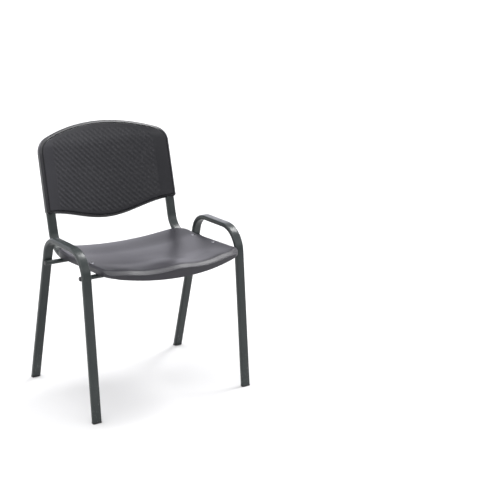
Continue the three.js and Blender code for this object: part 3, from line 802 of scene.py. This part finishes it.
def makeNut(name, across, height, bore):
    # six-sided nut with chamfered corners and a flanged washer above it
    def cornered(chamfer):
        return lambda a: min(hexRadius(a, across), across * chamfer)
    profile = [
        (across, 0.0, cornered(0.93)), (across, 0.5, cornered(1.0)),
        (across, height - 0.2, cornered(1.0)),
        (across + 1.6, height - 0.2), (across + 1.9, height + 0.1), (across + 1.9, height + 0.7),
        (bore, height + 0.7), (bore, 0.6), (bore + 0.5, 0.0),
    ]
    rings = [turned(radius, z, hardware["segments"], *shape) for radius, z, *shape in profile]
    return skin(name, rings, screwSteel, 0.000002, endless=True)


def makeScatterTree():
    # one copy of a piece at each point, each turned a little further about its own axis
    tree, nodes = newTree("setPieces", {"Piece": "Object", "Tilt": "Float", "Turn Step": "Float"}, dict(
        source="ObjectInfo", index="InputIndex", spin="ShaderNodeCombineXYZ", tilt="ShaderNodeCombineXYZ",
        turned="FunctionNodeRotateEuler", dots="MeshToPoints", stand="InstanceOnPoints",
    ))
    nodes["turned"].space = "LOCAL"
    wire(tree, nodes,
         "given.Piece > source.Object", "given.Tilt > tilt.X", "tilt.Vector > turned.Rotation",
         "spin.Vector > turned.Rotate By", "given.Geometry > dots.Mesh", "dots.Points > stand.Points",
         "source.Geometry > stand.Instance", "turned.Rotation > stand.Rotation",
         "stand.Instances > real.Geometry")
    turn = calc(tree, "MULTIPLY", nodes["index"].outputs["Index"], nodes["given"].outputs["Turn Step"])
    tree.links.new(turn, nodes["spin"].inputs["Z"])
    return tree


setPieces = makeScatterTree()


def standPieces(name, source, places, tilt, nodes):
    piece = meshObject(name, places)
    useTree(piece, setPieces, {
        "Piece": source, "Tilt": tilt, "Turn Step": hardware["turnStep"], "Material": screwSteel,
    })
    bpy.data.objects.remove(source)
    finishPiece(piece, nodes, angle=35)


def standSeatHardware():
    h, half = hardware, t["thick"] / 2
    corners = [end + "_" + side for side in ("left", "right") for end in ("front", "rear")]
    heads = [(x, y, seatHeight(x, y) - s["screwSunk"]) for x, y in seatScrewPlaces()]
    length = heads[0][2] - railZ(heads[0][1]) + half + h["below"]
    screw = makeScrew("seatScrew", length, **h["seatScrew"])
    places = [place(*head) for head in heads]
    standPieces("seatScrews", screw, places, 0.0, ["seat_screw_" + c for c in corners])
    nut = makeNut("seatNut", h["nutAcross"], h["nutHeight"], h["nutBore"])
    under = half + h["nutHeight"] + h["washer"]
    places = [place(x, y, railZ(y) - under) for x, y in seatScrewPlaces()]
    standPieces("seatNuts", nut, places, 0.0, ["seat_nut_" + c for c in corners])


standSeatHardware()
print("seat hardware set")

back = dict(
    bottomHalf=238, topHalf=235, cornerV=119.5, sag=37, topV=399.1, topRadius=540,
    topCorner=54, bottomCorner=9,
    steps=dict(bottom=60, foot=8, side=30, corner=24, top=40),
    curve=32, curveAt=230, faceN=-15, rearN=13, thick=2.8, rearRoll=8.5,
    panelInset=9.3, panelRoll=2.6, panelLedge=1.5, groove=5,
    lip=(  # chamfer that frames the panel: inset, and depth behind the panel's face
        (0, 8.6), (0.2, 7.7), (0.8, 6.7), (2.6, 4.9), (4.4, 3.1), (6.2, 1.3), (6.8, 0.85),
        (7.4, 0.75), (7.9, 1.05), (8.2, 1.9), (8.2, 4.4), (7.2, 4.4), (5.2, 5.8),
    ),
    sideFromV=128, sideRun=270, sideBorder=40, topBorder=13, bottomBorder=11, recess=3,
    sideFade=3, edgeFade=4,
    topLean=13, leanFrom=334, crease=5, screwV=172, screwSunk=1.6,
    panelCells=(226, 132), coverCells=(92, 52),
    pocket=((0, -8), (2.4, -8), (2.4, 0), (5.4, 0), (5.8, 0.5), (6.2, 1.6), (6.4, 8), (0, 8)),
)
weave = dict(pitch=19, depth=0.65, falling=0.55, rising=0.22, over=0.2)
b = back


def backPoint(x, v, n):
    deep = n - b["curve"] * (x * x - t["railX"] ** 2) / b["curveAt"] ** 2
    y, z = alongUpright(v)
    return place(x, y + deep * math.cos(lean), z - deep * math.sin(lean))


def lowerEdge(x, run):
    # wavy lower edge of the backrest, lowest in the middle
    return b["cornerV"] - b["sag"] * (0.5 + 0.5 * math.cos(math.pi * x / run))


def backHalfOutline(inset):
    # right half drawn in by the inset, from the middle of the lower edge round to the middle of the top
    steps = b["steps"]
    foot, topRound = max(b["bottomCorner"] - inset, 2), b["topCorner"] - inset
    run = b["bottomHalf"] - inset - foot
    half = []
    for k in range(steps["bottom"]):
        x = run * k / steps["bottom"]
        half.append(Vector((x, lowerEdge(x, run) + inset)))
    side = Vector((run + foot, b["cornerV"] + inset + foot))
    half += arcPoints((run, side.y), foot, -math.pi / 2, 0, steps["foot"])
    up = (Vector((b["topHalf"] - inset, b["topV"])) - side).normalized()
    inward = Vector((-up.y, up.x))
    topArc = b["topRadius"] - inset
    topCentre = Vector((0, b["topV"] - b["topRadius"]))
    # the corner's circle touches the side and the arc of the top from inside
    start = side + inward * topRound - topCentre
    along = start.dot(up)
    rise = -along + math.sqrt(along * along + (topArc - topRound) ** 2 - start.length_squared)
    centre = side + up * rise + inward * topRound
    topAngle = math.atan2(centre.y - topCentre.y, centre.x - topCentre.x)
    corner = arcPoints(centre, topRound, math.atan2(-inward.y, -inward.x), topAngle, steps["corner"])
    half += [side.lerp(corner[0], k / steps["side"]) for k in range(1, steps["side"])]
    half += corner
    half += arcPoints(topCentre, topArc, topAngle, math.pi / 2, steps["top"])[1:]
    half[-1].x = 0
    lowerCut = steps["bottom"] + steps["foot"] // 2
    upperCut = steps["bottom"] + steps["foot"] + steps["side"] + steps["corner"] // 2
    return half, lowerCut, upperCut


def spacedLine(points, count):
    # the same line with evenly spaced points
    lengths = [0.0]
    for a, c in zip(points, points[1:]):
        lengths.append(lengths[-1] + (c - a).length)
    spaced, i = [], 0
    for k in range(count + 1):
        want = lengths[-1] * k / count
        while i < len(points) - 2 and lengths[i + 1] < want:
            i += 1
        share = (want - lengths[i]) / (lengths[i + 1] - lengths[i])
        spaced.append(points[i].lerp(points[i + 1], min(max(share, 0), 1)))
    return spaced


def backLoop(inset, cellsX, cellsV):
    # the whole outline, evenly spaced between its four corners, from the lower left one
    half, lowerCut, upperCut = backHalfOutline(inset)
    mirrored = [Vector((-p.x, p.y)) for p in half]
    bottom = mirrored[lowerCut:0:-1] + half[:lowerCut + 1]
    right = half[lowerCut:upperCut + 1]
    top = half[upperCut:] + mirrored[-2:upperCut - 1:-1]
    left = [Vector((-p.x, p.y)) for p in reversed(right)]
    loop = []
    for line, count in ((bottom, cellsX), (right, cellsV), (top, cellsX), (left, cellsV)):
        loop += spacedLine(line, count)[:-1]
    return loop


def blendedGrid(loop, cellsX, cellsV):
    # interior points blended from the four sides of the inset outline
    bottom = loop[:cellsX + 1]
    right = loop[cellsX:cellsX + cellsV + 1]
    top = (loop[cellsX + cellsV:2 * cellsX + cellsV + 1])[::-1]
    left = (loop[2 * cellsX + cellsV:] + loop[:1])[::-1]
    rows = []
    for j in range(cellsV + 1):
        v = j / cellsV
        row = []
        for i in range(cellsX + 1):
            u = i / cellsX
            edges = bottom[i] * (1 - v) + top[i] * v + left[j] * (1 - u) + right[j] * u
            row.append(edges - bottom[0].lerp(bottom[-1], u).lerp(top[0].lerp(top[-1], u), v))
        rows.append(row)
    return rows


def softRamp(value, width):
    # zero below zero, value above it, with a soft crease
    return 0.5 * (value + math.sqrt(value * value + width * width)) - 0.5 * width


def frontFace(x, v):
    # the borders slope in from the sides to a slightly deeper field, and the top leans back
    edge = b["panelInset"] + b["panelRoll"]
    half = blend(b["bottomHalf"], b["topHalf"], (v - b["sideFromV"]) / b["sideRun"]) - edge
    top = b["topV"] - b["topRadius"] + math.sqrt(b["topRadius"] ** 2 - x * x) - edge
    run = b["bottomHalf"] - b["bottomCorner"]
    bottom = lowerEdge(min(abs(x), run), run) + edge
    fromSide, fromTop, fromBottom = half - abs(x), top - v, v - bottom
    inside = smooth(fromSide, b["sideBorder"] - b["sideFade"], b["sideBorder"] + b["sideFade"])
    inside *= smooth(fromTop, b["topBorder"] - b["edgeFade"], b["topBorder"])
    inside *= smooth(fromBottom, b["bottomBorder"] - b["edgeFade"], b["bottomBorder"])
    slope = softRamp(b["sideBorder"] - fromSide, b["crease"]) * b["recess"] / b["sideBorder"]
    lean = softRamp(v - b["leanFrom"], 2 * b["crease"]) * b["topLean"] / (b["topV"] - b["leanFrom"])
    return b["faceN"] + b["recess"] - slope + lean, inside


def makeWeaveTree():
    # falling strands, with fainter crossing ones they pass over and under
    tree, nodes = newTree("wovenField", {
        "Pitch": "Float", "Depth": "Float", "Falling": "Float", "Rising": "Float", "Over": "Float",
    }, dict(
        across="InputNamedAttribute", up="InputNamedAttribute", woven="InputNamedAttribute",
        normal="InputNormal", offset="ShaderNodeVectorMath", move="SetPosition",
    ))
    given = nodes["given"].outputs
    for key in ("across", "up", "woven"):
        nodes[key].data_type = "FLOAT"
        nodes[key].inputs["Name"].default_value = key
    across, up, woven = (nodes[key].outputs["Attribute"] for key in ("across", "up", "woven"))

    def times(a, c):
        return calc(tree, "MULTIPLY", a, c)

    def wave(value):
        return calc(tree, "COSINE", times(value, 2 * math.pi))
    falling = calc(tree, "DIVIDE", calc(tree, "ADD", across, up), given["Pitch"])
    rising = calc(tree, "DIVIDE", calc(tree, "SUBTRACT", across, up), given["Pitch"])
    over = times(wave(times(falling, 0.5)), wave(times(rising, 0.5)))
    crossing = calc(tree, "ADD", times(wave(rising), given["Rising"]), times(over, given["Over"]))
    relief = calc(tree, "ADD", times(wave(falling), given["Falling"]), crossing)
    nodes["offset"].operation = "SCALE"
    tree.links.new(times(times(relief, woven), given["Depth"]), nodes["offset"].inputs["Scale"])
    wire(tree, nodes,
         "normal.Normal > offset.Vector", "given.Geometry > move.Geometry",
         "offset.Vector > move.Offset", "move.Geometry > real.Geometry")
    return tree


quarterTurn = [math.pi / 2 * k / 7 for k in range(1, 8)]


def panelEdge(front):
    # inset from the outline and depth: over the panel's edge, into the groove and back up inside
    roll, inset, wall = b["panelRoll"], b["panelInset"], b["thick"]
    edge = [(inset + roll * (1 - math.sin(a)), front + roll * (1 - math.cos(a))) for a in quarterTurn]
    edge += [(inset, front + blend(roll, b["groove"], k / 2)) for k in (1, 2)]
    return edge + [(inset + wall, front + b["groove"]), (inset + wall, front + wall + 0.7)]


def coverEdge(front):
    # round the rear edge, along the side wall, over the front lip into the groove, and back inside
    roll, wall, rear = b["rearRoll"], b["thick"], b["rearN"]
    small, wallEnd = roll - wall, front + b["lip"][0][1]
    edge = [(roll * (1 - math.sin(a)), rear - roll * (1 - math.cos(a))) for a in quarterTurn]
    edge += [(0, blend(rear - roll, wallEnd, k / 4)) for k in (1, 2, 3)]
    edge += [(inset, front + depth) for inset, depth in b["lip"]]
    edge += [(wall, wallEnd + 1), (wall, rear - roll)]
    for a in quarterTurn[-2::-1]:
        edge.append((roll - small * math.sin(a), rear - roll + small * math.cos(a)))
    return edge


def makeBackShell(name, edge, outside, inside, cells):
    # a grid outside, rings round the edge and a grid inside, closed into one shell
    flat, faces = [], []
    cellsX, cellsV = cells

    def addGrid(inset, face):
        start, across = len(flat), cellsX + 1
        for row in blendedGrid(backLoop(inset, cellsX, cellsV), cellsX, cellsV):
            flat.extend((p.x, p.y, *face(p.x, p.y)) for p in row)
        for j in range(cellsV):
            for i in range(cellsX):
                a = start + j * across + i
                faces.append((a, a + 1, a + across + 1, a + across))
        border = list(range(cellsX))
        border += [j * across + cellsX for j in range(cellsV)]
        border += [cellsV * across + cellsX - i for i in range(cellsX)]
        border += [(cellsV - j) * across for j in range(cellsV)]
        return [start + i for i in border]

    rim = backLoop(b["panelInset"] + b["panelRoll"], cellsX, cellsV)
    edges = [edge(frontFace(q.x, q.y)[0]) for q in rim]
    rings = [addGrid(*outside)]
    for k, (inset, _) in enumerate(edges[0]):
        rings.append([len(flat) + i for i in range(len(rim))])
        for p, depths in zip(backLoop(inset, cellsX, cellsV), edges):
            flat.append((p.x, p.y, depths[k][1], 0))
    rings.append(addGrid(*inside))
    for ring, following in zip(rings, rings[1:]):
        for i in range(len(ring)):
            j = (i + 1) % len(ring)
            faces.append((ring[i], ring[j], following[j], following[i]))
    piece = meshObject(name, [backPoint(x, v, n) for x, v, n, _ in flat], faces, material=backPlastic)
    for label, column, unit in (("across", 0, mm), ("up", 1, mm), ("woven", 3, 1)):
        attribute = piece.data.attributes.new(label, "FLOAT", "POINT")
        attribute.data.foreach_set("value", [row[column] * unit for row in flat])
    closeSeams(piece)
    return piece


def standBackrest():
    panelRim = b["panelInset"] + b["panelRoll"]
    insideRim = b["panelInset"] + b["thick"] + b["panelLedge"]
    rear, inside = b["rearN"], b["rearN"] - b["thick"]
    panel = makeBackShell(
        "backrestPanel", panelEdge, (panelRim, frontFace),
        (insideRim, lambda x, v: (frontFace(x, v)[0] + b["thick"], 0)), b["panelCells"],
    )
    useTree(panel, makeWeaveTree(), {
        "Pitch": weave["pitch"] * mm, "Depth": weave["depth"] * mm, "Falling": weave["falling"],
        "Rising": weave["rising"], "Over": weave["over"], "Material": backPlastic,
    })
    cutWith(panel, [uprightRoom(-1), uprightRoom(1)])
    finishPiece(panel, ["backrest_front"], angle=40)
    print("backrest panel woven")
    cover = makeBackShell(
        "backrestCover", coverEdge, (b["rearRoll"], lambda x, v: (rear, 0)),
        (b["rearRoll"], lambda x, v: (inside, 0)), b["coverCells"],
    )
    spots = [backPoint(sign * t["railX"], b["screwV"], rear - b["screwSunk"]) for sign in (-1, 1)]
    tilt = -math.pi / 2 - lean
    turn = Matrix.Rotation(tilt, 3, "X")
    cutters = [lathe("pocket", b["pocket"], spot, None, turn) for spot in spots]
    cutWith(cover, cutters + [uprightRoom(-1), uprightRoom(1)])
    finishPiece(cover, ["backrest_rear_cover"], angle=40)
    screw = makeScrew("backScrew", hardware["backLength"], **hardware["backScrew"])
    standPieces("backScrews", screw, spots, tilt, ["back_screw_left", "back_screw_right"])


standBackrest()
print("backrest finished")

floor = meshObject("floor", [(-60, -60, 0), (60, -60, 0), (60, 60, 0), (-60, 60, 0)], [(0, 1, 2, 3)])
floorPaint = bpy.data.materials.new("floorPaint")
floorPaint.use_nodes = True
for key, value in (("Base Color", (0.6, 0.6, 0.6, 1)), ("Roughness", 0.9), ("Specular IOR Level", 0.1)):
    floorPaint.node_tree.nodes["Principled BSDF"].inputs[key].default_value = value
floor.data.materials.append(floorPaint)


def addLight(name, kind, energy, toward, at=(0, 0, 0)):
    light = bpy.data.lights.new(name, kind)
    light.energy = energy
    lamp = bpy.data.objects.new(name, light)
    lamp.location = at
    lamp.rotation_euler = Vector(toward).to_track_quat("-Z", "Y").to_euler()
    bpy.context.scene.collection.objects.link(lamp)
    return light


addLight("softDaylight", "SUN", 2.15, (0.15, 0.0, -1)).angle = math.radians(60)
addLight("rightWindow", "SUN", 1.85, (-0.55, -0.10, -0.81)).angle = math.radians(17)
leftSoftbox = addLight("leftSoftbox", "AREA", 8, (2.8, 1.2, -1.4), (-2.8, -1.2, 1.9))
leftSoftbox.shape = "RECTANGLE"
leftSoftbox.size, leftSoftbox.size_y = 1.4, 1.6

# bright backdrop behind the chair, a dimmer room with high windows in front of it, dark straight ahead
world = bpy.data.worlds.new("studio")
bpy.context.scene.world = world
world.use_nodes = True
tree = world.node_tree
tree.nodes.clear()
kinds = dict(where="TexCoord", split="SeparateXYZ", lit="Background", seen="Background", path="LightPath",
             choose="MixShader", output="OutputWorld")
nodes = {key: tree.nodes.new("ShaderNode" + kind) for key, kind in kinds.items()}
across, deep, up = nodes["split"].outputs
height = mapRange(tree, up, -1, 1, 0, 1)
backdrop = ramp(tree, height, [
    (0.50, (1.02, 1.01, 1.11)), (0.58, (1.80, 1.78, 1.95)), (0.68, (2.15, 2.13, 2.32)),
    (0.80, 0.6), (1.0, 0.35),
])
windows = ramp(tree, height, [
    (0.50, 0.16), (0.59, 0.18), (0.65, 0.95), (0.73, 2.6), (0.82, 1.4), (1.0, 0.3),
])
darkGap = ramp(tree, mapRange(tree, across, -1, 1, 0, 1), [
    (0.25, 1.3), (0.42, 1.2), (0.53, 0.5), (0.66, 0.8), (0.85, 1.5),
])
room = mixColor(tree, 1.0, windows, darkGap, "MULTIPLY")
toBack = calc(tree, "ADD", calc(tree, "MULTIPLY", across, 0.58), calc(tree, "MULTIPLY", deep, 0.81))
sky = mixColor(tree, mapRange(tree, toBack, -0.4, 0.5, 0, 1), room, backdrop)
tree.links.new(sky, nodes["lit"].inputs["Color"])
nodes["seen"].inputs["Color"].default_value = (1, 1, 1, 1)
wire(tree, nodes, "where.Generated > split.Vector", "path.Is Camera Ray > choose.Fac",
     "choose.Shader > output.Surface")
for key, socket in (("lit", 1), ("seen", 2)):
    tree.links.new(nodes[key].outputs["Background"], nodes["choose"].inputs[socket])
bpy.context.scene.view_settings.view_transform = "Standard"

shot = dict(
    at=(-1.9366, -3.377, 1.668), heading=35.36, down=17.87, roll=1.646,
    lens=91.55, shift=(-0.0083, 0.0229),
)


def makeCamera():
    heading, down, roll = (math.radians(shot[key]) for key in ("heading", "down", "roll"))
    level = Vector((math.sin(heading), math.cos(heading), 0))
    forward = level * math.cos(down) - Vector((0, 0, math.sin(down)))
    right = Vector((level.y, -level.x, 0))
    up = right.cross(forward)
    turn = Matrix.Rotation(-roll, 3, forward)
    right, up = turn @ right, turn @ up
    data = bpy.data.cameras.new("camera")
    data.lens = shot["lens"]
    data.sensor_width = 36
    data.shift_x, data.shift_y = shot["shift"]
    camera = bpy.data.objects.new("camera", data)
    axes = Matrix((right, up, -forward)).transposed().to_4x4()
    camera.matrix_world = Matrix.Translation(shot["at"]) @ axes
    bpy.context.scene.collection.objects.link(camera)
    bpy.context.scene.camera = camera


makeCamera()
print("camera and light placed")
